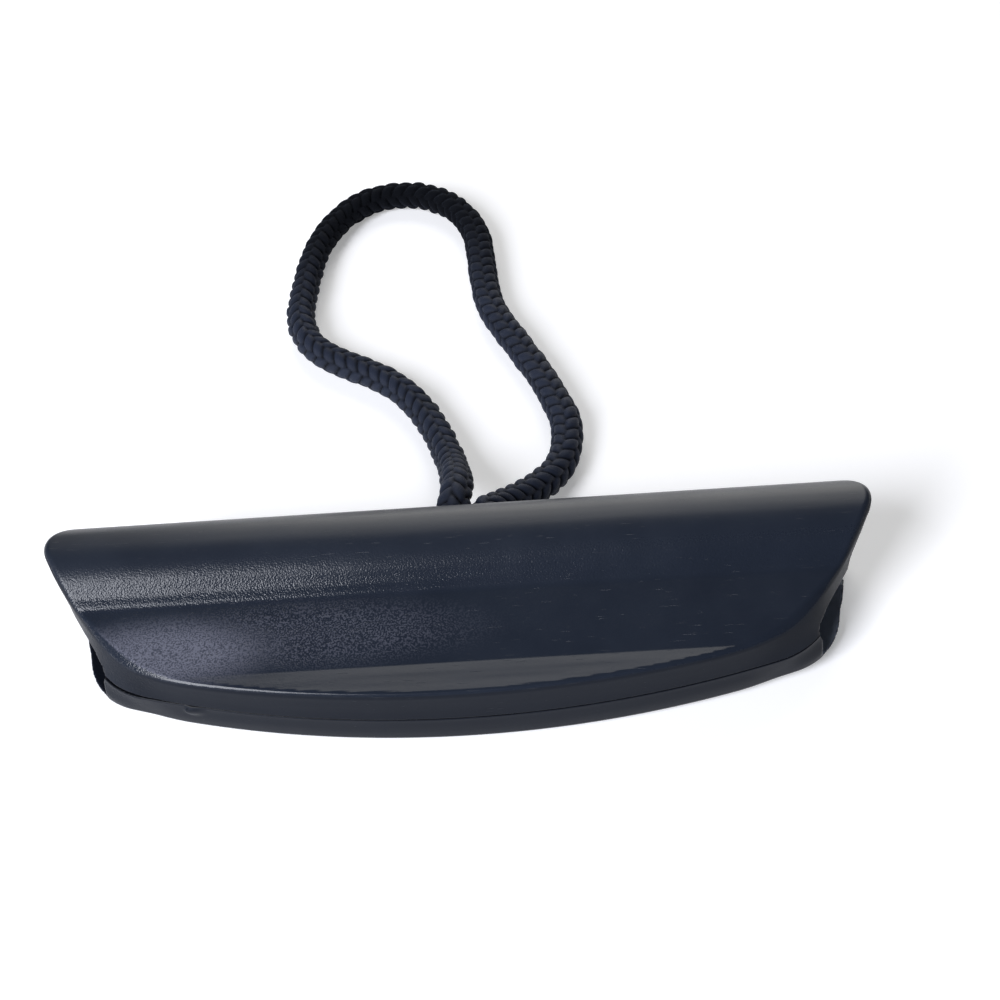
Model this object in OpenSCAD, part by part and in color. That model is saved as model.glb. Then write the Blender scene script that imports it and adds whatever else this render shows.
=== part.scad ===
// Boat carry handle: a hollow moulded grip in two half-shells, closed by two screws,
// and a braided cord loop whose two legs pass through a slot in the back of the grip and are
// held inside it by stopper knots. The grip lies on a level surface as it does when put down.

/* [Grip] */
// Length of the grip from end to end
grip_length = 137; // [110:1:170]
// Diameter of the round bar along the back of the grip
bar_d = 20; // [18:0.5:26]
// Thickness of the flat plate in front of the bar
plate_thickness = 12; // [11:0.5:14]
// Distance from the axis of the bar to the middle of the curved front edge
plate_reach = 29.5; // [26:0.5:40]
// Radius of the long curve of the front edge
front_r = 190; // [150:5:260]
// Bevel of the plate's outer edges
edge_bevel = 1.5; // [0.5:0.1:2]
// Radius of the back corners in plan
back_corner_r = 8; // [5:0.5:9]

/* [Upper shell] */
// Slant of the upper shell's ends in plan at the seam, in degrees
upper_slant = 27; // [24:1:29]
// Radius of the upper shell's front corners in plan at the seam
upper_corner_r = 20; // [15:1:23]
// Slant of the ends of the plate's top in plan, in degrees
top_slant = 44; // [42:1:48]
// Radius of the front corners of the plate's top in plan
top_corner_r = 32; // [26:1:38]

/* [Lower shell] */
// Slant of the lower shell's ends in plan, in degrees
lower_slant = 24; // [20:1:27]
// Radius of the lower shell's front corners in plan
lower_corner_r = 8; // [6:1:14]

/* [Hollow] */
// Thickness of the wall around the bar's bore
bar_wall = 2.5; // [2:0.1:3]
// Thickness of the plate's flat walls
plate_wall = 2.3; // [2:0.1:3]
// Thickness of the curved front wall
rim_wall = 2.5; // [2:0.1:3]
// Distance from the axis of the bar to the front edge of the open ends
mouth_reach = 17.8; // [15:0.1:19]
// Distance from the middle of the grip to the ends of the lower shell's front wall
wall_end = 58.7; // [56:0.1:60]

/* [Cord] */
// Diameter of the cord
cord_d = 6; // [5:0.5:6]
// Width of the slot that the cord leaves through
slot_w = 16; // [16:0.5:18]
// Height of the slot that the cord leaves through
slot_h = 7; // [6.5:0.1:8]
// Place of the left leg of the cord along the slot
left_leg_x = -1.6; // [-2.4:0.1:-1.6]
// Place of the right leg of the cord along the slot
right_leg_x = 4.6; // [4.6:0.1:5]
// Diameter of each stopper knot
knot_d = 13.6; // [12:0.1:14.6]

/* [Screws] */
// Distance of each screw from the middle of the grip
screw_x = 30; // [26:1:42]
// Distance of each screw in front of the bar's axis
screw_y = 14; // [13:0.5:16]
// Diameter of the screw thread
screw_d = 3; // [2.5:0.1:3.5]
// Diameter of the screw head
screw_head_d = 5.6; // [5:0.1:6]

/* [Hidden] */
$fn = 64;
bar_r = bar_d / 2;
half_t = plate_thickness / 2;
bore_r = bar_r - bar_wall;
hollow_h = half_t - plate_wall;
cord_r = cord_d / 2;
knot_r = knot_d / 2;
far = grip_length + 20;

// Outline in plan: the circles that the front curve, corners and back corners follow
front_c = [0, front_r - plate_reach];
back_c = [grip_length / 2 - back_corner_r, bar_r - back_corner_r];

// The plate's top meets the bar along the crease. The line of its slanted ends lies further out
// than the seam's at the back, and crosses it near the crease.
crease_y = -sqrt(pow(bar_r, 2) - pow(half_t, 2));
top_overhang = 2;
seam_band = 0.5;

// The grip rests on the bar's underside and on the bevel of the front edge
foot = [plate_reach - edge_bevel, half_t];
rest_tilt = asin(bar_r / norm(foot)) - atan2(foot[1], foot[0]);
front_extent = plate_reach * cos(rest_tilt) + (half_t - edge_bevel) * sin(rest_tilt);
rest_y = (front_extent - bar_r) / 2;

// Screws, measured from the seam: the head sits in a counterbore in the lower shell
screw_r = screw_d / 2;
head_r = screw_head_d / 2;
head_h = 2.2;
head_seat = 3.4;
shank_top = 4;
pilot_r = screw_r - 0.25;
pilot_top = 4.2;
upper_boss_r = 3.2;
lower_boss_r = 4.4;
counterbore_r = head_r + 0.3;
clearance_r = screw_r + 0.2;
recess_w = 0.8;
recess_l = 3.2;
recess_depth = 1.2;

// The cord bends at this distance behind the bar's axis, just clear of the grip
leg_gap = 0.5;
bend_y = bar_r + cord_r + leg_gap;
leg_end_y = bend_y - cord_r - 0.3;
knot_x = 13.5;
knot_tail = 8;

// Route of the free loop on the surface, from the left leg's bend to the right leg's bend
left_bend = on_table([left_leg_x, bend_y, 0]);
right_bend = on_table([right_leg_x, bend_y, 0]);
lie = cord_r;
ROUTE = [
    left_bend,
    [-0.6, 28, 10.8], [-0.7, 32.5, 8.6], [-1.5, 37.8, 5.9], [-2.9, 43.8, 3.9],
    [-5.6, 52, lie], [-9.2, 59.2, lie], [-14, 65.5, lie], [-20.3, 70.5, lie], [-27, 75, lie],
    [-32, 81, lie], [-34.2, 88.5, lie], [-34.2, 96.5, lie], [-33.7, 104.5, lie],
    [-32.5, 112.5, lie], [-30, 120, lie], [-25.5, 126.7, lie], [-19, 130.7, lie],
    [-11.5, 130.6, lie], [-4.7, 126.6, lie], [0, 120, lie], [2.4, 112.5, lie],
    [3.3, 104.5, lie], [4, 96.5, lie], [5.2, 88.7, lie], [8, 81.2, lie], [11.3, 74, lie],
    [14.5, 66.6, lie], [17.3, 59, lie], [19.4, 51.4, lie], [19.2, 44, lie], [17.5, 38.3, 3.6],
    [14.9, 34, 4.8], [11, 29.2, 6.8], [7.2, 25.8, 9.4],
    right_bend
];
RING_SIDES = 12;
CAP_ANGLES = [25, 50, 75];

shell_colour = [0.09, 0.10, 0.15];
cord_colour = [0.05, 0.055, 0.07];
steel_colour = [0.70, 0.70, 0.72];

// ---- placing ----

// A point of the grip, given from the bar's axis with the seam level, where the grip lies
function on_table(p) = [
    p[0],
    p[1] * cos(rest_tilt) - p[2] * sin(rest_tilt) + rest_y,
    p[1] * sin(rest_tilt) + p[2] * cos(rest_tilt) + bar_r
];

module resting() {
    translate([0, rest_y, bar_r])
        rotate([rest_tilt, 0, 0])
            children();
}

// ---- outline of the grip in plan ----

function arc(centre, r, from, to, steps) = [
    for (i = [0:steps])
        let (a = from + (to - from) * i / steps)
            centre + r * [cos(a), sin(a)]
];

// How far the slanted end lies from the bar's axis at the middle of the grip
function end_level(slant, overhang) =
    cos(slant) * (back_c[0] + overhang) - sin(slant) * back_c[1] + back_corner_r;

// Centre of the front corner's circle, which touches both the slanted end and the front curve
function corner_c(slant, r, overhang = 0) =
    let (
        out = [cos(slant), -sin(slant)],
        along = [sin(slant), cos(slant)],
        k = end_level(slant, overhang) - r,
        reach = sqrt(pow(front_r - r, 2) - pow(k - out * front_c, 2))
    )
    k * out + (along * front_c - reach) * along;

function half_outline(slant, r, inset) =
    let (
        c = corner_c(slant, r),
        meet = atan2(c[1] - front_c[1], c[0])
    )
    concat(
        arc(front_c, front_r - inset, -90, meet, 8),
        arc(c, r - inset, meet, -slant, 8),
        arc(back_c, back_corner_r - inset, -slant, 90, 8)
    );

// The outline of the plate's top is cut back at the corners. It stops at the line y = back.
function half_top(back, inset) =
    let (
        c = corner_c(top_slant, top_corner_r, top_overhang),
        meet = atan2(c[1] - front_c[1], c[0]),
        end_x = (end_level(top_slant, top_overhang) - inset + sin(top_slant) * back) / cos(top_slant)
    )
    concat(
        arc(front_c, front_r - inset, -90, meet, 8),
        arc(c, top_corner_r - inset, meet, -top_slant, 8),
        [[end_x, back]]
    );

function flipped(points) = [
    for (i = [len(points) - 1:-1:1])
        [-points[i][0], points[i][1]]
];

module outline(slant, r, inset = 0) {
    half = half_outline(slant, r, inset);
    polygon(concat(half, flipped(half)));
}

module slab(low, high, slant, r, inset = 0) {
    translate([0, 0, low])
        linear_extrude(high - low)
            outline(slant, r, inset);
}

module top_slab(low, high, back, inset = 0) {
    half = half_top(back, inset);
    translate([0, 0, low])
        linear_extrude(high - low)
            polygon(concat(half, flipped(half)));
}

// ---- shells ----

module along_x(r, length) {
    rotate([0, 90, 0])
        cylinder(r = r, h = length, center = true);
}

// The round bar, cut to the grip's outline, above (side 1) or below (side -1) the seam
module half_bar(side) {
    intersection() {
        along_x(bar_r, far);
        slab(min(0, side * far), max(0, side * far), upper_slant, upper_corner_r);
    }
}

// The upper plate's corners slope inwards from the seam to its top
module upper_plate() {
    hull() {
        slab(0, seam_band, upper_slant, upper_corner_r);
        top_slab(half_t - edge_bevel - seam_band, half_t - edge_bevel, crease_y);
        top_slab(half_t - edge_bevel, half_t, crease_y, edge_bevel);
    }
}

// The lower plate is squarer at its front corners than the upper one
module lower_plate() {
    hull() {
        slab(edge_bevel - half_t, 0, lower_slant, lower_corner_r);
        slab(-half_t, edge_bevel - half_t, lower_slant, lower_corner_r, edge_bevel);
    }
}

// The bore along the bar, the hollow of the plate, and the open ends
module hollow(side) {
    along_x(bore_r, far);
    intersection() {
        top_slab(-hollow_h, hollow_h, 0, rim_wall);
        translate([-far / 2, -far, -hollow_h])
            cube([far, far, 2 * hollow_h]);
    }
    round_back = side > 0 ? hollow_h : 0;
    translate([-far / 2, round_back - mouth_reach, -hollow_h])
        cube([far, mouth_reach - round_back, 2 * hollow_h]);
    if (side > 0)
        translate([0, hollow_h - mouth_reach, 0])
            along_x(hollow_h, far);
    else
        for (end = [-1, 1])
            translate([end * (wall_end + far / 2), -far / 2, 0])
                cube([far, far, 2 * hollow_h], center = true);
}

// The slot with round ends in the middle of the back wall
module cord_slot() {
    end_r = slot_h / 2;
    end_x = slot_w / 2 - end_r;
    for (x = [-end_x, end_x])
        translate([x, 0, 0])
            rotate([-90, 0, 0])
                cylinder(r = end_r, h = far);
    translate([-end_x, 0, -end_r])
        cube([2 * end_x, far, 2 * end_r]);
}

module at_screws() {
    for (side = [-1, 1])
        translate([side * screw_x, -screw_y, 0])
            children();
}

module upper_shell() {
    color(shell_colour)
        resting()
            difference() {
                union() {
                    difference() {
                        union() {
                            half_bar(1);
                            upper_plate();
                        }
                        hollow(1);
                        cord_slot();
                    }
                    at_screws()
                        cylinder(r = upper_boss_r, h = half_t - plate_wall / 2);
                }
                at_screws()
                    translate([0, 0, -1])
                        cylinder(r = pilot_r, h = pilot_top + 1);
            }
}

module lower_shell() {
    color(shell_colour)
        resting()
            difference() {
                union() {
                    difference() {
                        union() {
                            half_bar(-1);
                            lower_plate();
                        }
                        hollow(-1);
                        cord_slot();
                    }
                    at_screws()
                        translate([0, 0, plate_wall / 2 - half_t])
                            cylinder(r = lower_boss_r, h = half_t - plate_wall / 2);
                }
                at_screws()
                    translate([0, 0, -far / 2])
                        cylinder(r = clearance_r, h = far);
                at_screws()
                    translate([0, 0, -head_seat - far])
                        cylinder(r = counterbore_r, h = far);
            }
}

// ---- screws ----

module screw(side) {
    color(steel_colour)
        resting()
            translate([side * screw_x, -screw_y, 0])
                difference() {
                    union() {
                        translate([0, 0, -head_seat])
                            cylinder(r = screw_r, h = head_seat + shank_top);
                        translate([0, 0, -head_seat - head_h])
                            cylinder(r = head_r, h = head_h);
                    }
                    for (turn = [0, 90])
                        rotate([0, 0, turn])
                            translate([-recess_l / 2, -recess_w / 2, -head_seat - head_h - 1])
                                cube([recess_l, recess_w, recess_depth + 1]);
                }
}

module left_screw() {
    screw(-1);
}

module right_screw() {
    screw(1);
}

// ---- cord inside the grip ----

// A stopper knot in the bore with the short tail of the cord beyond it
module knot(side) {
    color(cord_colour)
        resting() {
            translate([side * knot_x, 0, 0])
                sphere(r = knot_r);
            translate([side * (knot_x + (knot_r + knot_tail) / 2), 0, 0])
                along_x(cord_r, knot_r + knot_tail);
        }
}

module left_knot() {
    knot(-1);
}

module right_knot() {
    knot(1);
}

// One leg: in through the slot, then round towards its knot
module leg(x, side) {
    run = knot_x - side * x;
    translate([x, 0, 0]) {
        rotate([-90, 0, 0])
            cylinder(r = cord_r, h = leg_end_y);
        sphere(r = cord_r);
        translate([side * run / 2, 0, 0])
            along_x(cord_r, run);
    }
}

module cord_legs() {
    color(cord_colour)
        resting() {
            leg(left_leg_x, -1);
            leg(right_leg_x, 1);
        }
}

// ---- free loop of cord ----

function unit(v) = v / norm(v);

function heading(route, i) =
    unit(route[min(i + 1, len(route) - 1)] - route[max(i - 1, 0)]);

// Each ring is [centre, direction, radius]; both ends are closed by a round cap
function cap(centre, direction, outward) = [
    for (a = CAP_ANGLES)
        [centre + outward * cord_r * sin(a), direction, cord_r * cos(a)]
];

function reversed(list) = [for (i = [len(list) - 1:-1:0]) list[i]];

function rings(route) =
    let (
        last = len(route) - 1,
        start = heading(route, 0),
        end = heading(route, last)
    )
    concat(
        reversed(cap(route[0], start, -start)),
        [for (i = [0:last]) [route[i], heading(route, i), cord_r]],
        cap(route[last], end, end)
    );

function ring_points(ring) =
    let (
        side = unit(cross(ring[1], [0, 0, 1])),
        up = cross(side, ring[1])
    )
    [
        for (k = [0:RING_SIDES - 1])
            let (a = 360 * k / RING_SIDES)
                ring[0] + ring[2] * (cos(a) * side + sin(a) * up)
    ];

module tube(route) {
    all = rings(route);
    n = RING_SIDES;
    last = len(all) - 1;
    points = [for (ring = all) each ring_points(ring)];
    walls = [
        for (i = [0:last - 1])
            for (k = [0:n - 1])
                [i * n + k, (i + 1) * n + k, (i + 1) * n + (k + 1) % n, i * n + (k + 1) % n]
    ];
    ends = [
        [for (k = [0:n - 1]) k],
        [for (k = [n - 1:-1:0]) last * n + k]
    ];
    polyhedron(points = points, faces = concat(walls, ends), convexity = 10);
}

module cord_loop() {
    color(cord_colour)
        tube(ROUTE);
}

upper_shell();
lower_shell();
left_screw();
right_screw();
left_knot();
right_knot();
cord_legs();
cord_loop();
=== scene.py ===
"""Boat carry handle: two moulded half-shells and a braided cord loop, on a pale floor.

The CAD frame gives the places. Shapes are worked out in millimetres in the grip's own frame:
X along the bar, Y towards the cord, Z up, with the bar's axis at y = z = 0 and the seam level.
"""
import math

import bpy
import numpy as np
from mathutils import Matrix, Vector


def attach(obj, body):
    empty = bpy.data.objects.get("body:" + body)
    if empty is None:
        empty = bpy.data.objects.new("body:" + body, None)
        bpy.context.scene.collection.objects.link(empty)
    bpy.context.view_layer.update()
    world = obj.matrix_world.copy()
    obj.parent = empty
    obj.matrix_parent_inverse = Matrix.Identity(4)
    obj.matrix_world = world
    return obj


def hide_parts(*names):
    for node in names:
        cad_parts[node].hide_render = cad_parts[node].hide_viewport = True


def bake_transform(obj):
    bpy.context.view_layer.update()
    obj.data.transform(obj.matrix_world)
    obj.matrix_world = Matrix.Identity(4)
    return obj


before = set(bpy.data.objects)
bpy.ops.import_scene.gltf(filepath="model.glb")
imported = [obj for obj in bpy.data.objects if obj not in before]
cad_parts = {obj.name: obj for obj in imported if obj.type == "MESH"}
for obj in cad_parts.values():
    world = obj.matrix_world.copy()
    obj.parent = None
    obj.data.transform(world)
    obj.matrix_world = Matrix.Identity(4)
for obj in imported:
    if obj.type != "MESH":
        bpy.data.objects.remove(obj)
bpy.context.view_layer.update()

MM = 0.001
SEED = 7

# ---- the grip's sizes in millimetres: the main ones are the CAD model's, the ends' differ a little ----

HALF_LENGTH = 68.7
BAR_R = 10.0
HALF_T = 6.0
REACH = 29.5
FRONT_R = 190.0
EDGE_R = 1.5
PLATE_EDGE_R = 1.2

# The plate's top falls forwards to a line at LIP_Y, in front of which the lip rises again
PLATE_TOP = 5.5
PLATE_FALL = math.radians(2.7)
LIP_Y = -22.2
LIP_RISE = math.radians(6.5)
CREASE_R = 1.6
BACK_CORNER = 7.0

# For each outline in plan: the slant of the ends, the front corners' radius, how far the back
# corners are set in from HALF_LENGTH, and the front edge from REACH
SEAM_OUTLINE = (math.radians(27), 14.0, 0.0, 0.0)
TOP_OUTLINE = (math.radians(44), 30.0, -3.36, 0.4)
BAR_OUTLINE = (math.radians(27), 22.0, 2.57, 0.0)
FOOT_OUTLINE = (math.radians(12), 12.0, 2.74, 0.0)
FOOT_BACK = -3.0
FOOT_FILLET = 1.0
TOP_EDGE_R = 2.0

# The outline changes from this height over the seam, over this span, and between these depths
TOP_FROM, TOP_SPAN = 0.3, 5.1
FOOT_FROM, FOOT_TO = 0.2, 4.2

# The hollow. Its open ends reach forward to MOUTH. From MOUTH_FROM to MOUTH_TO along the grip
# they grow deeper in the lower shell, by MOUTH_FLARE, and lower in the upper one
BORE_R = 7.5
HOLLOW_H = 3.7
RIM_WALL = 2.5
MOUTH = 17.8
MOUTH_FROM, MOUTH_TO = 50, 57
MOUTH_FLARE, MOUTH_CLOSE = 1.5, 1.5
MOUTH_TAPER = 4.0
MOUTH_CORNER = 0.5
MOUTH_FILLET = 0.4
MOUTH_EDGE = 0.4
WALL_END = 58.9

# The slot for the cord, and the screws' bosses, which end BOSS_SINK inside the plate's faces,
# and counterbores
SLOT_END_R, SLOT_END_X = 3.5, 3.5
SLOT_EDGE = 0.8
SCREW_X, SCREW_Y = 30.0, -14.0
UPPER_BOSS, LOWER_BOSS = 3.2, 4.4
BOSS_SINK = 1
BOSS_FILLET = 0.5
COUNTERBORE_R, HEAD_SEAT = 3.1, 3.4
COUNTERBORE_EDGE = 0.25

# The mark of the moulding gate on the lower shell: the middle, the half axes and the fillet
GATE_AT = (-42.4, -24.6, -1.3)
GATE_R = (2.1, 0.45, 1.0)
GATE_FILLET = 0.3

# Half of the seam's gap, how much wider it opens at the left end's front, and its edges' radius
SEAM_GAP = 0.09
SEAM_OPEN = 0.45
OPEN_LEFT, OPEN_FRONT = (40, 62), (8, 15)
SEAM_EDGE = 0.22

# ---- how the grip lies: on the bar's underside and the front edge ----

FOOT_Y, FOOT_Z = REACH - EDGE_R, HALF_T
TILT = math.asin(BAR_R / math.hypot(FOOT_Y, FOOT_Z)) - math.atan2(FOOT_Z, FOOT_Y)
EXTENT = REACH * math.cos(TILT) + (HALF_T - EDGE_R) * math.sin(TILT)
REST_Y = (EXTENT - BAR_R) / 2


def on_table(points):
    """Points of the grip's own frame, in millimetres, as they lie in the row frame."""
    p = np.atleast_2d(np.array(points, float))
    c, s = math.cos(TILT), math.sin(TILT)
    y = p[:, 1] * c - p[:, 2] * s + REST_Y
    z = p[:, 1] * s + p[:, 2] * c + BAR_R
    return np.column_stack([p[:, 0], y, z])


def turned(vectors):
    """Directions of the grip's own frame, turned as the grip lies."""
    return on_table(vectors) - [0, REST_Y, BAR_R]


# ---- camera ----

CAMERA_AT = (0.0221, -0.1736, 0.2071)
CAMERA_FORWARD = Vector((-0.0529, 0.7081, -0.7042)).normalized()
CAMERA_UP = Vector((0.0635, 0.7061, 0.7053))
FOCAL_LENGTH = 57.6


def make_camera():
    right = CAMERA_FORWARD.cross(CAMERA_UP).normalized()
    up = right.cross(CAMERA_FORWARD)
    data = bpy.data.cameras.new("camera")
    data.lens = FOCAL_LENGTH
    data.sensor_width = 36
    data.clip_start = 0.01
    data.clip_end = 20
    camera = bpy.data.objects.new("camera", data)
    bpy.context.scene.collection.objects.link(camera)
    turn = Matrix((right, up, -CAMERA_FORWARD)).transposed().to_4x4()
    camera.matrix_world = Matrix.Translation(CAMERA_AT) @ turn
    bpy.context.scene.camera = camera


make_camera()


# ---- meshes ----

def make_mesh(name, vertices, faces, normals=None):
    """A smooth mesh object from points in metres in the row frame."""
    mesh = bpy.data.meshes.new(name)
    mesh.vertices.add(len(vertices))
    mesh.vertices.foreach_set("co", np.asarray(vertices, np.float32).ravel())
    corners = np.asarray(faces, np.int32)
    count, sides = corners.shape
    mesh.loops.add(count * sides)
    mesh.loops.foreach_set("vertex_index", corners.ravel())
    mesh.polygons.add(count)
    mesh.polygons.foreach_set("loop_start", np.arange(count, dtype=np.int32) * sides)
    mesh.polygons.foreach_set("use_smooth", np.ones(count, bool))
    mesh.update(calc_edges=True)
    mesh.validate()
    if normals is not None:
        mesh.normals_split_custom_set_from_vertices(np.asarray(normals, np.float32))
    obj = bpy.data.objects.new(name, mesh)
    bpy.context.scene.collection.objects.link(obj)
    return obj


def store(obj, name, values):
    """A vector for each vertex, which the material reads by name."""
    attribute = obj.data.attributes.new(name, "FLOAT_VECTOR", "POINT")
    attribute.data.foreach_set("vector", np.asarray(values, np.float32).ravel())


# ---- cord ----

CORD_R = 3.0
RING_STEP = 0.2
RING_SIDES = 60
COLUMNS = 6
STITCH = 2.9
LEAN = 0.5
COLUMN_SHARE = 1.25
UNEVEN = 0.10
GROOVE = 0.85
END_ROUND = 1.2

LEFT_LEG = [(-9, 0, 0), (-6.5, 0, 0), (-3.8, 0.9, 0), (-2.1, 3.2, 0), (-1.6, 6.5, 0), (-1.2, 10, 0),
            (-0.5, 13.5, 0)]
RIGHT_LEG = [(4.7, 10, -0.2), (4.6, 6.5, 0), (5, 3.2, 0), (6.4, 0.9, 0), (8.6, 0, 0), (10, 0, 0)]
LOOP = [(-0.3, 28, 10.7), (-0.7, 32.5, 8.6), (-1.5, 37.8, 5.9), (-2.9, 43.8, 3.9), (-5.6, 52, 3),
        (-9.2, 59.2, 3), (-14, 65.5, 3), (-20.3, 70.5, 3), (-27, 75, 3), (-32, 81, 3),
        (-34.2, 88.5, 3), (-34.2, 96.5, 3), (-33.7, 104.5, 3), (-32.5, 112.5, 3), (-30, 120, 3),
        (-25.5, 126.7, 3), (-19, 130.7, 3), (-11.5, 130.6, 3), (-4.7, 126.6, 3), (0, 120, 3),
        (2.4, 112.5, 3), (3.3, 104.5, 3), (4, 96.5, 3), (5.2, 88.7, 3), (8, 81.2, 3),
        (11.3, 74, 3), (14.5, 66.6, 3), (17.3, 59, 3), (19.4, 51.4, 3), (19.2, 44, 3),
        (17.5, 38.3, 3.5), (14.9, 34, 4.5), (11, 28.9, 6.3), (8.2, 25.6, 7.9), (6, 22.6, 9.9)]


def smooth_line(points, step, parts_each=40, rounds=60):
    """A Catmull-Rom curve through the points, evened out and resampled at an even step. Gives
    its points and how far along it each one lies."""
    p = np.array(points, float)
    p = np.vstack([2 * p[0] - p[1], p, 2 * p[-1] - p[-2]])
    t = np.linspace(0, 1, parts_each, endpoint=False)[:, None]
    parts = []
    for a, b, c, d in zip(p[:-3], p[1:-2], p[2:-1], p[3:]):
        parts.append(0.5 * (2 * b + (c - a) * t + (2 * a - 5 * b + 4 * c - d) * t ** 2
                            + (3 * b - a - 3 * c + d) * t ** 3))
    line = np.vstack(parts + [p[-2][None]])
    for _ in range(rounds):
        line[1:-1] = 0.25 * line[:-2] + 0.5 * line[1:-1] + 0.25 * line[2:]
    run = np.concatenate([[0], np.cumsum(np.linalg.norm(np.diff(line, axis=0), axis=1))])
    count = int(round(run[-1] / step)) + 1
    even = np.linspace(0, run[-1], count)
    return np.column_stack([np.interp(even, run, line[:, k]) for k in range(3)]), even


def carried_frames(line):
    """The direction at each point and two sides across it, which don't twist along the line."""
    ahead = np.gradient(line, axis=0)
    ahead /= np.linalg.norm(ahead, axis=1)[:, None]
    side = np.cross(ahead[0], [0.0, 0.0, 1.0])
    sides = []
    for direction in ahead:
        side = side - direction * (side @ direction)
        side /= np.linalg.norm(side)
        sides.append(side)
    sides = np.array(sides)
    return ahead, sides, np.cross(ahead, sides)


def braid(run, angle, rng):
    """Solid braid: columns of leaning stitches, in mirrored pairs. Gives the height of the
    stitches from 0 in the grooves to about 1, and coordinates across and along the yarns."""
    spacing = 2 * math.pi * CORD_R / COLUMNS
    height = np.zeros(np.broadcast(run, angle).shape)
    yarn = np.zeros(height.shape + (3,))
    stitches = int(run.max() / STITCH) + 4
    for k in range(COLUMNS):
        turn = angle - 2 * math.pi * k / COLUMNS
        across = CORD_R * ((turn + math.pi) % (2 * math.pi) - math.pi)
        lean = LEAN if k % 2 else -LEAN
        t = (run + lean * across) / STITCH + 0.5 * (k % 2)
        stitch = np.round(t)
        sizes = 1 + UNEVEN * rng.standard_normal(stitches + 8)
        wobble = sizes[np.clip(stitch, 0, None).astype(int)]
        along = np.clip(np.abs(t - stitch) * 2, 0, 1)
        aside = np.clip(np.abs(across) / (0.5 * spacing * COLUMN_SHARE), 0, 1)
        rise = wobble * (1 - along ** 2.2) ** 0.5 * (1 - aside ** 2.4) ** 0.5
        top = rise > height
        height = np.where(top, rise, height)
        own = np.stack(np.broadcast_arrays(across - lean * (t - stitch), (t - stitch) * STITCH,
                                           k + 8.0 * (stitch % 5)), axis=-1)
        yarn = np.where(top[..., None], own, yarn)
    return np.clip(height, 0, 1.12), yarn


def cord_mesh(name, line, run, radius):
    """A closed tube of braided cord along a line in millimetres in the row frame."""
    rng = np.random.default_rng(SEED + len(line))
    ahead, side, other = carried_frames(line)
    angle = np.linspace(0, 2 * math.pi, RING_SIDES, endpoint=False)[None, :]
    height, yarn = braid(run[:, None], angle, rng)
    reach = radius - GROOVE * (1 - height)
    from_end = np.clip(np.minimum(run, run[-1] - run) / END_ROUND, 0, 1)
    reach = reach * np.sqrt(np.clip(1 - (1 - from_end) ** 2, 0.02, 1))[:, None]
    ring = np.cos(angle)[..., None] * side[:, None, :] + np.sin(angle)[..., None] * other[:, None, :]
    points = line[:, None, :] + reach[..., None] * ring
    rows, n = height.shape
    first = np.arange(rows - 1)[:, None] * n
    k = np.arange(n)[None, :]
    turn = (k + 1) % n
    quads = np.stack([first + k, first + turn, first + n + turn, first + n + k], axis=-1).reshape(-1, 4)
    start, end = len(points) * n, len(points) * n + 1
    flat = np.vstack([points.reshape(-1, 3), line[:1], line[-1:]])
    last = (rows - 1) * n
    caps = [[start, (j + 1) % n, j] for j in range(n)]
    caps += [[end, last + j, last + (j + 1) % n] for j in range(n)]
    return build_tube(name, flat, quads.tolist() + caps, yarn, height)


def build_tube(name, points, faces, yarn, height):
    """The tube's mesh. It stores the yarns' coordinates, and the stitches' height with the
    distance back along Y."""
    mesh = bpy.data.meshes.new(name)
    mesh.from_pydata((points * MM).tolist(), [], faces)
    mesh.polygons.foreach_set("use_smooth", np.ones(len(faces), bool))
    mesh.validate()
    obj = bpy.data.objects.new(name, mesh)
    bpy.context.scene.collection.objects.link(obj)
    ends = np.zeros((2, 3))
    store(obj, "yarn", np.vstack([yarn.reshape(-1, 3), ends]))
    levels = np.concatenate([height.ravel(), [1, 1]])
    store(obj, "relief", np.column_stack([levels, points[:, 1], np.zeros(len(points))]))
    return obj


def make_cord():
    """The loop and its two legs in one tube."""
    left, right = on_table(LEFT_LEG), on_table(RIGHT_LEG)
    line, run = smooth_line(np.vstack([left, LOOP, right]), RING_STEP)
    cord = cord_mesh("braided_cord", line, run, CORD_R)
    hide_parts("cord_loop", "cord_legs")
    print("cord length", round(float(run[-1]), 2), "mm")
    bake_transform(cord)
    return cord


KNOT_X = 13.5
KNOT_CORD_R = 2.6
TAIL_END = 28.2


def make_knot(side, name, node):
    """An overhand stopper knot about the bore's axis, with its tail. Its turns follow a
    polynomial trefoil, whose ends are led straight out along the bore."""
    t = np.linspace(-2, 2, 25)
    inner = np.column_stack([-2.2 * (t ** 3 - 3 * t), 1.05 * (t ** 4 - 4 * t ** 2 + 2),
                             0.28 * (t ** 5 - 10 * t)])
    points = np.vstack([[(7.0, 0, 0), (6.4, 0.3, -0.4)], inner,
                        [(-7.4, 0.5, 0.8), (-9.5, 0, 0), (-12, 0, 0), (KNOT_X - TAIL_END, 0, 0)]])
    points[:, 0] = side * (KNOT_X - points[:, 0])
    line, run = smooth_line(on_table(points), RING_STEP)
    knot = cord_mesh(name, line, run, KNOT_CORD_R)
    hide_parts(node)
    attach(knot, "grip")
    return knot


cord_pieces = [make_cord(), make_knot(-1, "left_stopper_knot", "left_knot"),
               make_knot(1, "right_stopper_knot", "right_knot")]


# ---- shells: distance fields, negative inside, whose zero surfaces are meshed ----

# The sizes of the mesh's cells: along X and Y, finer along X at the ends and along Z by the seam
CELL_X, CELL_Y, CELL_Z = 0.5, 0.45, 0.32
FINE_FROM, FINE_CELL = 56.0, 0.3
SEAM_ZONE, SEAM_CELL = 0.96, 0.12
MARGIN_X, MARGIN_Y, MARGIN_Z = 1.03, 1.01, 0.6


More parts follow.
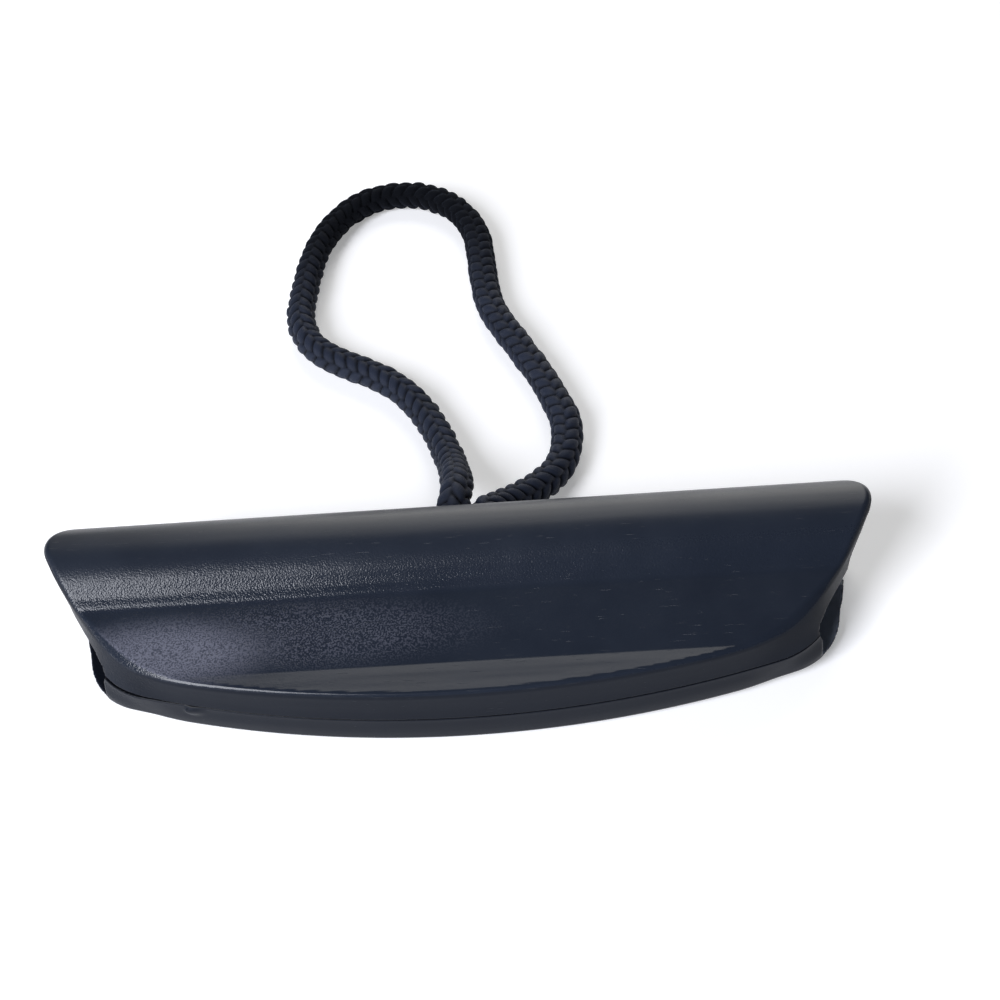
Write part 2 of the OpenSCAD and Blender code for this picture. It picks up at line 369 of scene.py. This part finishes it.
def round_both(a, b, r):
    """Where both fields are inside, with the edge between them rounded."""
    corner = np.hypot(np.maximum(a + r, 0), np.maximum(b + r, 0))
    return np.minimum(np.maximum(a, b), -r) + corner


def round_either(a, b, r):
    """Where either field is inside, with a fillet between them."""
    corner = np.hypot(np.maximum(r - a, 0), np.maximum(r - b, 0))
    return np.maximum(np.minimum(a, b), r) - corner


def smooth_step(value, low, high):
    """From 0 below one value to 1 above the other, with soft ends."""
    t = np.clip((value - low) / (high - low), 0, 1)
    return t * t * (3 - 2 * t)


def plan(x, y, slant, corner, setback, draft):
    """The grip's outline in plan, as a distance field with true round corners."""
    out = np.array([math.cos(slant), -math.sin(slant)])
    along = np.array([math.sin(slant), math.cos(slant)])
    back_c = np.array([HALF_LENGTH - BACK_CORNER - setback, BAR_R - BACK_CORNER])
    front_c = np.array([0, FRONT_R - REACH + draft])
    level = out @ back_c + BACK_CORNER
    inner = level - corner
    run = math.sqrt((FRONT_R - corner) ** 2 - (inner - out @ front_c) ** 2)
    corner_c = inner * out + (along @ front_c - run) * along
    ahead = (corner_c - front_c) / np.linalg.norm(corner_c - front_c)
    ax = np.abs(x)
    front = np.hypot(x, y - front_c[1]) - FRONT_R
    end = out[0] * ax + out[1] * y - level
    field = np.maximum(np.maximum(front, end), y - BAR_R)
    dx, dy = ax - corner_c[0], y - corner_c[1]
    turning = (dy * ahead[0] - dx * ahead[1] > 0) & (dx * along[0] + dy * along[1] < 0)
    field = np.where(turning, np.hypot(dx, dy) - corner, field)
    dx, dy = ax - back_c[0], y - back_c[1]
    turning = (dx > 0) & (dx * along[0] + dy * along[1] > 0)
    return np.where(turning, np.hypot(dx, dy) - BACK_CORNER, field)


def outline(x, y, z):
    """The outline at a height. From the seam, the front corners are cut back towards the top
    and grow squarer towards the foot."""
    seam = plan(x, y, *SEAM_OUTLINE)
    top = round_both(seam, plan(x, y, *TOP_OUTLINE), TOP_EDGE_R)
    foot = np.maximum(plan(x, y, *FOOT_OUTLINE), y - FOOT_BACK)
    lower = round_either(plan(x, y, *BAR_OUTLINE), foot, FOOT_FILLET)
    field = seam + np.clip((z - TOP_FROM) / TOP_SPAN, 0, 1) * (top - seam)
    return field + smooth_step(-z, FOOT_FROM, FOOT_TO) * (lower - seam)


def outer_body(x, y, z):
    """The whole grip without its hollow."""
    fall = (z - PLATE_TOP) * math.cos(PLATE_FALL) - (y - LIP_Y) * math.sin(PLATE_FALL)
    rise = (z - PLATE_TOP) * math.cos(LIP_RISE) + (y - LIP_Y) * math.sin(LIP_RISE)
    top = np.minimum(fall, rise)
    slab = np.maximum(np.maximum(top, -z - HALF_T), y - 1)
    section = round_either(np.hypot(y, z) - BAR_R, slab, CREASE_R)
    return round_both(section, outline(x, y, z), PLATE_EDGE_R)


def hollow(x, y, z, side):
    """The bore, the plate's hollow and the open ends."""
    bore = np.hypot(y, z) - BORE_R
    plate = np.maximum(np.abs(z) - HOLLOW_H, outline(x, y, np.maximum(z, 0)) + RIM_WALL)
    plate = np.maximum(plate, y)
    at_end = smooth_step(np.abs(x), MOUTH_FROM, MOUTH_TO)
    if side > 0:
        height = HOLLOW_H - MOUTH_CLOSE * at_end
        taper = MOUTH_TAPER * at_end
        mouth = np.hypot(np.minimum(y + MOUTH - height - taper, 0) * height / (height + taper), z)
        mouth = mouth - height
    else:
        depth = HOLLOW_H + MOUTH_FLARE * at_end
        front = np.minimum(-MOUTH - y, WALL_END - np.abs(x))
        mouth = round_both(np.abs(z) - depth, front, MOUTH_CORNER)
    mouth = np.maximum(mouth, y)
    return np.minimum(bore, round_either(plate, mouth, MOUTH_FILLET))


def shell_field(side):
    """The distance field of the upper shell, side 1, or of the lower one, side -1."""
    def field(x, y, z):
        shell = round_both(outer_body(x, y, z), -hollow(x, y, z, side), MOUTH_EDGE)
        opening = np.hypot(np.maximum(np.abs(x) - SLOT_END_X, 0), z) - SLOT_END_R
        shell = round_both(shell, -np.maximum(opening, 2 - y), SLOT_EDGE)
        boss = np.hypot(np.abs(x) - SCREW_X, y - SCREW_Y)
        if side > 0:
            shell = round_either(shell, np.maximum(boss - UPPER_BOSS, z - HALF_T + BOSS_SINK), BOSS_FILLET)
        else:
            shell = round_either(shell, np.maximum(boss - LOWER_BOSS, -z - HALF_T + BOSS_SINK), BOSS_FILLET)
            bore = np.maximum(boss - COUNTERBORE_R, z + HEAD_SEAT)
            shell = round_both(shell, -bore, COUNTERBORE_EDGE)
            gate = np.sqrt(sum(((v - c) / r) ** 2 for v, c, r in zip((x, y, z), GATE_AT, GATE_R)))
            shell = round_either(shell, (gate - 1) * min(GATE_R), GATE_FILLET)
        opened = smooth_step(-x, *OPEN_LEFT) * smooth_step(-y, *OPEN_FRONT)
        gap = SEAM_GAP + SEAM_OPEN * opened
        return round_both(shell, gap - side * z, SEAM_EDGE)
    return field


def steps_up(low, high, size):
    """Even steps of about the given size."""
    return np.linspace(low, high, int(round((high - low) / size)) + 1)


def grid_lines(side):
    """Where the cells' walls lie along X, Y and Z, for one shell."""
    near = steps_up(-3 * SEAM_CELL, SEAM_ZONE, SEAM_CELL)
    away = steps_up(SEAM_ZONE, BAR_R + MARGIN_Z, CELL_Z)[1:]
    z = np.concatenate([near, away])
    tip = steps_up(FINE_FROM, HALF_LENGTH + MARGIN_X, FINE_CELL)
    x = np.concatenate([-tip[::-1], steps_up(-FINE_FROM, FINE_FROM, CELL_X)[1:-1], tip])
    y = steps_up(-REACH - MARGIN_Y, BAR_R + MARGIN_Y, CELL_Y)
    return x, y, (z if side > 0 else -z[::-1])


def slope(field, p, h=0.02):
    """The field's gradient at points."""
    grad = np.empty_like(p)
    for k in range(3):
        step = np.zeros(3)
        step[k] = h
        grad[:, k] = (field(*(p + step).T) - field(*(p - step).T)) / (2 * h)
    return grad


def onto_surface(field, p, rounds=4):
    """Moves points down the field's slope to where it is zero."""
    for _ in range(rounds):
        grad = slope(field, p)
        move = field(*p.T) / np.maximum((grad ** 2).sum(1), 0.25)
        p = p - np.clip(move, -0.3, 0.3)[:, None] * grad
    return p


def crossings(value, lines, axis):
    """Where the surface crosses the grid's lines along one axis: the places in the grid, the
    points, and which of them lead out of the shell."""
    low = np.take(value, np.arange(value.shape[axis] - 1), axis)
    high = np.take(value, np.arange(1, value.shape[axis]), axis)
    at = np.argwhere((low < 0) != (high < 0))
    a, b = low[tuple(at.T)], high[tuple(at.T)]
    place = np.column_stack([lines[k][at[:, k]] for k in range(3)])
    grid = lines[axis]
    place[:, axis] += a / (a - b) * (grid[at[:, axis] + 1] - grid[at[:, axis]])
    return at, place, a < 0


def surface_of(field, lines):
    """The field's zero surface as quads: one point in each cell that it crosses, and one quad
    for the four cells around each crossing."""
    x, y, z = lines
    value = field(x[:, None, None], y[None, :, None], z[None, None, :])
    value = np.where(value == 0, 1e-9, value)
    cells = tuple(n - 1 for n in value.shape)
    total = np.zeros((int(np.prod(cells)), 3))
    count = np.zeros(len(total), int)
    quads = []
    for axis in range(3):
        at, place, leaving = crossings(value, lines, axis)
        u, v = [(1, 2), (2, 0), (0, 1)][axis]
        around = []
        for du, dv in ((-1, -1), (0, -1), (0, 0), (-1, 0)):
            cell = at.copy()
            cell[:, u] += du
            cell[:, v] += dv
            flat = np.ravel_multi_index(tuple(cell.T), cells)
            around.append(flat)
            np.add.at(total, flat, place)
            np.add.at(count, flat, 1)
        quad = np.column_stack(around)
        quads.append(np.where(leaving[:, None], quad, quad[:, ::-1]))
    used = np.flatnonzero(count)
    index = np.full(len(count), -1)
    index[used] = np.arange(len(used))
    return total[used] / count[used][:, None], index[np.vstack(quads)]


def relaxed(field, points, quads, rounds=2):
    """Evens the mesh out along the surface."""
    a = quads.ravel()
    b = np.roll(quads, -1, axis=1).ravel()
    for _ in range(rounds):
        total = np.zeros_like(points)
        np.add.at(total, a, points[b])
        np.add.at(total, b, points[a])
        count = np.bincount(a, minlength=len(points)) + np.bincount(b, minlength=len(points))
        middle = total / count[:, None]
        points = onto_surface(field, points + 0.5 * (middle - points), 2)
    return points


STEEP_UNDER = 0.6
FRONT_FROM = -11
END_OVER = 0.3


def wall_faces(side, middle, facing):
    """Which faces take the duller wall plastic: the steep ones at the front and at the ends, and
    the whole of the lower shell."""
    at_front = middle[:, 1] < FRONT_FROM
    at_end = np.abs(facing[:, 0]) > END_OVER
    return (facing[:, 2] < STEEP_UNDER) & (at_front | at_end) | (side < 0)


def make_shell(side, name, node):
    """One shell's mesh, with what its plastic reads: the place in the grip's frame, the
    direction of the surface and whether it belongs to the hollow."""
    field = shell_field(side)
    points, quads = surface_of(field, grid_lines(side))
    points = relaxed(field, onto_surface(field, points), quads)
    normals = slope(field, points)
    normals /= np.linalg.norm(normals, axis=1)[:, None]
    obj = make_mesh(name, on_table(points) * MM, quads, turned(normals))
    store(obj, "grip", points)
    store(obj, "facing", normals)
    inside = np.abs(hollow(*points.T, side)) < 0.05
    store(obj, "inside", np.repeat(inside[:, None], 3, axis=1))
    wall = wall_faces(side, points[quads].mean(axis=1), normals[quads].mean(axis=1))
    obj.data.polygons.foreach_set("material_index", wall.astype(np.int32))
    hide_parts(node)
    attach(obj, "grip")
    print(name, len(points), "points")
    return obj


shells = [make_shell(1, "upper_half_shell", "upper_shell"),
          make_shell(-1, "lower_half_shell", "lower_shell")]


# ---- materials ----

NAVY_DEEP, NAVY_PALE = (0.0115, 0.0155, 0.025, 1), (0.014, 0.0185, 0.029, 1)
# Scratch marks, and the pale tone of the scuff patch and of the painted glints
SCRATCHED, SCUFF_AND_GLINT_TONE = (0.06, 0.065, 0.08, 1), (0.14, 0.145, 0.185, 1)
# Painted shade: the first darkens steep faces, the second the faces inside the seam's gap
STEEP_FACE_SHADE, PAINTED_SEAM_SHADE = (0.002, 0.003, 0.006, 1), (0.001, 0.0015, 0.003, 1)
# Painted shade at the lining's left end and painted light at its right end
LINING_PAINTED_SHADE, LINING_PAINTED_LIGHT = (0.003, 0.004, 0.007, 1), (0.16, 0.18, 0.22, 1)
# Painted shade in the cord's grooves and at the loop's far end, and the stitches' own colour
YARN_PAINTED_SHADE, YARN_TOP = (0.001, 0.0014, 0.0025, 1), (0.015, 0.0195, 0.034, 1)
YARN_FLUFF = (0.024, 0.03, 0.05, 1)
SHEEN_TINT = (0.35, 0.5, 0.9, 1)
BRUSHING = (6000, 900, 900)
STEEL_DEEP, STEEL_PALE = (0.42, 0.42, 0.43, 1), (0.62, 0.62, 0.63, 1)
FLOOR_DEEP, FLOOR_PALE = (0.86, 0.86, 0.87, 1), (0.9, 0.9, 0.9, 1)

# The scuff patch, and the speckled haze of painted glints, on the plate: the middle, and one over the half
# axes
PATCH = (-47.0, -18.0, 0.0), (0.042, 0.12, 0.0)
PAINTED_GLINT_HAZE = (-24.0, -16.0, 0.0), (0.028, 0.125, 0.0)


class Surface:
    """A node material, built one node at a time."""

    def __init__(self, name):
        self.material = bpy.data.materials.new(name)
        self.material.use_nodes = True
        self.tree = self.material.node_tree
        self.shader = self.tree.nodes["Principled BSDF"]

    def put(self, socket, value):
        if isinstance(value, bpy.types.NodeSocket):
            self.tree.links.new(value, socket)
        else:
            socket.default_value = value

    def node(self, kind, inputs=(), out=0, **settings):
        made = self.tree.nodes.new("ShaderNode" + kind)
        for key, value in settings.items():
            setattr(made, key, value)
        for key, value in dict(inputs).items():
            self.put(made.inputs[key], value)
        return made.outputs[out]

    def math(self, operation, a, b=0.0):
        return self.node("Math", {0: a, 1: b}, operation=operation)

    def noise(self, vector, scale, detail=2.0, roughness=0.5):
        return self.node("TexNoise", {"Vector": vector, "Scale": scale, "Detail": detail,
                                      "Roughness": roughness})

    def stretched(self, vector, scale, turn=(0, 0, 0)):
        return self.node("Mapping", {"Vector": vector, "Rotation": turn, "Scale": scale})

    def between(self, value, low, high, to_low=0.0, to_high=1.0, kind="SMOOTHSTEP"):
        return self.node("MapRange", {0: value, 1: low, 2: high, 3: to_low, 4: to_high},
                         interpolation_type=kind)

    def mix(self, share, a, b):
        return self.node("Mix", {0: share, 6: a, 7: b}, out=2, data_type="RGBA")

    def bump(self, height, distance, strength=1.0, under=None):
        inputs = {"Height": height, "Distance": distance, "Strength": strength}
        if under is not None:
            inputs["Normal"] = under
        return self.node("Bump", inputs)

    def attribute(self, name):
        return self.node("Attribute", out=1, attribute_name=name)

    def set(self, **inputs):
        for key, value in inputs.items():
            self.put(self.shader.inputs[key.replace("_", " ")], value)


def within(s, grip, centre, scale):
    """How far a place lies from a centre, in shares of an ellipse in plan."""
    offset = s.node("VectorMath", {0: grip, 1: centre}, operation="SUBTRACT")
    offset = s.node("VectorMath", {0: offset, 1: scale}, operation="MULTIPLY")
    return s.node("VectorMath", {0: offset}, out=1, operation="LENGTH")


def scuff_and_painted_glints(s, grip, fine, height, steep):
    """The worn scuff patch at the plate's left end, and the speckled haze of painted glints to its right.
    """
    patch = s.between(within(s, grip, *PATCH), 0.25, 1.0, 1.0, 0.0)
    haze = s.between(within(s, grip, *PAINTED_GLINT_HAZE), 0.3, 1.0, 0.42, 0.0)
    patch = s.math("MULTIPLY", patch, s.between(fine, 0.32, 0.62, 0.3, 1.0))
    # Painted glints: pale speckled spots standing in for glints of light on the grain
    painted_glint_speckle = s.math("MULTIPLY", haze, s.between(fine, 0.45, 0.62))
    scuff_and_glint = s.math("MAXIMUM", patch, painted_glint_speckle)
    scuff_and_glint = s.math("MULTIPLY", scuff_and_glint, s.between(height, 4.0, 4.8))
    return s.math("MULTIPLY", scuff_and_glint, s.math("SUBTRACT", 1.0, steep))


def plastic_colour(s, grip, fine, broad, scratch):
    """Dark blue, with painted shade on steep faces and in the seam's gap, and paler in the worn scuff patch
    and in the painted glints of the haze. The lining of the hollow has painted shade at the left end and
    painted light at the right one."""
    x = s.node("SeparateXYZ", {0: grip})
    y, z = x.node.outputs[1], x.node.outputs[2]
    facing = s.math("ABSOLUTE", s.node("SeparateXYZ", {0: s.attribute("facing")}, out=2))
    colour = s.mix(s.between(broad, 0.3, 0.7), NAVY_DEEP, NAVY_PALE)
    colour = s.mix(s.math("MULTIPLY", scratch, 0.12), colour, SCRATCHED)
    on_plate = s.between(y, -12.0, -10.0, 1.0, 0.0)
    steep = s.math("MULTIPLY", on_plate, s.between(facing, 0.82, 0.96, 1.0, 0.0))
    scuff_and_glint = scuff_and_painted_glints(s, grip, fine, z, steep)
    # One paler tone for the worn scuff patch and for the painted glints
    colour = s.mix(s.math("MULTIPLY", scuff_and_glint, 0.85), colour, SCUFF_AND_GLINT_TONE)
    # Painted shade on steep faces
    colour = s.mix(s.between(facing, 0.35, 0.75, 0.35, 1.0), STEEP_FACE_SHADE, colour)
    # Painted shade on the faces inside the seam's gap
    by_seam = s.between(s.math("ABSOLUTE", z), 0.8, 1.0, 1.0, 0.0)
    in_seam = s.math("MULTIPLY", s.between(facing, 0.5, 0.8), by_seam)
    colour = s.mix(in_seam, colour, PAINTED_SEAM_SHADE)
    # Painted shade and light in the hollow: the lining goes from painted shade at the left end to painted
    # light at the right end
    inside = s.node("SeparateXYZ", {0: s.attribute("inside")})
    lining = s.mix(s.between(x, -20.0, 20.0), LINING_PAINTED_SHADE, LINING_PAINTED_LIGHT)
    return s.mix(inside, colour, lining)


def plastic_relief(s, grip, fine, scratch):
    """Slight waves, a fine grain that fades to the right, the scratches, and a ridge along the
    crease between the bar and the plate."""
    x = s.node("SeparateXYZ", {0: grip})
    y = x.node.outputs[1]
    waves = s.noise(s.stretched(grip, (0.02, 0.2, 0.2)), 1.0, 2)
    pits = s.node("TexVoronoi", {"Vector": grip, "Scale": 3.2}, feature="SMOOTH_F1")
    grain = s.math("ADD", fine, s.math("MULTIPLY", pits, 0.5))
    left = s.between(x, -30.0, 4.0, 1.0, 0.05)
    band = s.math("MULTIPLY", s.between(y, -9.4, -8.6), s.between(y, -5.0, -2.0, 1.0, 0.0))
    skin = s.math("MAXIMUM", left, s.math("MULTIPLY", band, 0.6))
    flat_lip = s.between(y, -22.6, -21.8, 0.1, 1.0)
    top_fade = s.between(y, -5.0, -1.0, 1.0, 0.08)
    skin = s.math("MULTIPLY", skin, s.math("MULTIPLY", flat_lip, top_fade))
    ridge = s.math("MULTIPLY", s.between(y, -9.2, -8.4), s.between(y, -8.4, -7.2, 1.0, 0.0))
    ridge = s.math("MULTIPLY", ridge, s.between(x, -45.0, 25.0, 1.0, 0.4))
    normal = s.bump(waves, 0.0002, 0.5)
    normal = s.bump(grain, 0.00006, skin, normal)
    normal = s.bump(s.math("SUBTRACT", 1.0, scratch), 0.00003, 0.5, normal)
    return s.bump(ridge, 0.00008, 1.0, normal)


def plastic(name, gloss, dull):
    """Moulded plastic with gloss as its specular level. Its roughness is raised by dull, and by
    more on the bar's top."""
    s = Surface(name)
    grip = s.attribute("grip")
    fine = s.noise(grip, 3.6, 1, 0.5)
    broad = s.noise(grip, 0.09, 3)
    line = s.noise(s.stretched(grip, (0.25, 9.0, 2.0), (0.2, 0.1, 0.5)), 1.0, 1)
    scratch = s.between(line, 0.74, 0.78)
    y = s.node("SeparateXYZ", {0: grip}, out=1)
    roughness = s.between(fine, 0.3, 0.7, 0.15, 0.21, "LINEAR")
    worn = s.math("MULTIPLY", s.between(broad, 0.45, 0.75), 0.04)
    roughness = s.math("ADD", roughness, worn)
    roughness = s.math("ADD", roughness, s.between(y, -7.5, -1.0, dull, dull + 0.18))
    s.set(Base_Color=plastic_colour(s, grip, fine, broad, scratch), Roughness=roughness,
          Normal=plastic_relief(s, grip, fine, scratch), IOR=1.5, Specular_IOR_Level=gloss)
    return s.material


def braided():
    """Dull dark yarn, with painted shade in the grooves and towards the loop's far end."""
    s = Surface("braided_cord")
    yarn = s.attribute("yarn")
    relief = s.node("SeparateXYZ", {0: s.attribute("relief")})
    filaments = s.noise(s.stretched(yarn, (0.9, 9.0, 3.0)), 1.0, 2, 0.6)
    fluff = s.noise(s.stretched(yarn, (4.0, 12.0, 2.0)), 1.0, 3, 0.7)
    # Painted shade: from 80 to 120 mm back the yarn fades towards the groove shade colour
    away = s.between(relief.node.outputs[1], 80.0, 120.0, 1.0, 0.06)
    shade = s.math("MULTIPLY", s.between(relief, 0.15, 0.95), away)
    colour = s.mix(shade, YARN_PAINTED_SHADE, YARN_TOP)
    # The pale fluff fades with the same painted shade
    fluffy = s.math("MULTIPLY", s.between(fluff, 0.55, 0.8), away)
    colour = s.mix(fluffy, colour, YARN_FLUFF)
    roughness = s.between(filaments, 0.3, 0.7, 0.5, 0.68, "LINEAR")
    roughness = s.math("ADD", roughness, s.math("MULTIPLY", s.math("SUBTRACT", 1.0, away), 0.4))
    normal = s.bump(filaments, 0.00012, 0.8)
    normal = s.bump(fluff, 0.00005, 0.5, normal)
    s.set(Base_Color=colour, Roughness=roughness, Normal=normal, Specular_IOR_Level=0.13,
          Sheen_Weight=0.03, Sheen_Roughness=0.45, Sheen_Tint=SHEEN_TINT)
    return s.material


def steel():
    """Plain brushed steel."""
    s = Surface("brushed_steel")
    place = s.node("TexCoord", out=3)
    brushed = s.noise(s.stretched(place, BRUSHING), 1.0, 3)
    dull = s.noise(s.stretched(place, (400, 400, 400)), 1.0, 2)
    colour = s.mix(dull, STEEL_DEEP, STEEL_PALE)
    roughness = s.between(brushed, 0.3, 0.7, 0.28, 0.45, "LINEAR")
    s.set(Base_Color=colour, Metallic=1.0, Roughness=roughness, Normal=s.bump(brushed, 0.00002, 0.5))
    return s.material


def dress(objects, *materials):
    """Gives objects their materials. The list is cleared only where it holds some, as clearing
    it also resets which material each face takes."""
    for obj in objects:
        if obj.data.materials:
            obj.data.materials.clear()
        for material in materials:
            obj.data.materials.append(material)


dress(shells, plastic("moulded_plastic", 0.26, 0.0), plastic("moulded_plastic_wall", 0.11, 0.2))
dress(cord_pieces, braided())
dress([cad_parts["left_screw"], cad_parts["right_screw"]], steel())


# ---- floor and light ----

FLOOR_HALF = 3.0
FLOOR_Z = -0.0002


def make_floor():
    """A pale floor, a hair under the grip so that it doesn't show through."""
    corners = [(-FLOOR_HALF, -FLOOR_HALF), (FLOOR_HALF, -FLOOR_HALF), (FLOOR_HALF, FLOOR_HALF),
               (-FLOOR_HALF, FLOOR_HALF)]
    floor = make_mesh("floor", [(x, y, FLOOR_Z) for x, y in corners], [(0, 1, 2, 3)])
    s = Surface("pale_floor")
    place = s.node("TexCoord", out=3)
    tone = s.mix(s.noise(place, 3.0, 2), FLOOR_DEEP, FLOOR_PALE)
    s.set(Base_Color=tone, Roughness=0.9, Emission_Color=(1, 1, 1, 1), Emission_Strength=0.3)
    s.shader.inputs["Specular IOR Level"].default_value = 0.1
    dress([floor], s.material)


def panel(name, azimuth, elevation, distance, size, radiance, tint):
    """A soft rectangular light that faces the grip. Azimuth 0 is behind it and 90 to its right."""
    data = bpy.data.lights.new(name, "AREA")
    data.shape = "RECTANGLE"
    data.size, data.size_y = size
    data.energy = radiance * math.pi * size[0] * size[1]
    data.color = tint
    light = bpy.data.objects.new(name, data)
    bpy.context.scene.collection.objects.link(light)
    a, e = math.radians(azimuth), math.radians(elevation)
    towards = Vector((math.sin(a) * math.cos(e), math.cos(a) * math.cos(e), math.sin(e)))
    light.location = towards * distance
    light.rotation_mode = "QUATERNION"
    light.rotation_quaternion = towards.to_track_quat("Z", "Y")


def light_scene():
    """A dim room, a tall panel behind the grip and a smaller one at its front left."""
    world = bpy.data.worlds.new("studio")
    world.use_nodes = True
    background = world.node_tree.nodes["Background"]
    background.inputs["Color"].default_value = (0.08, 0.085, 0.095, 1)
    background.inputs["Strength"].default_value = 1.0
    bpy.context.scene.world = world
    bpy.context.scene.view_settings.view_transform = "Standard"
    panel("back_panel", 3.3, 29.5, 1.2, (0.8, 1.34), 2.75, (1.0, 0.985, 0.95))
    panel("key_left_front", -137, 34, 0.8, (0.34, 0.58), 16, (0.96, 0.98, 1.05))


make_floor()
light_scene()
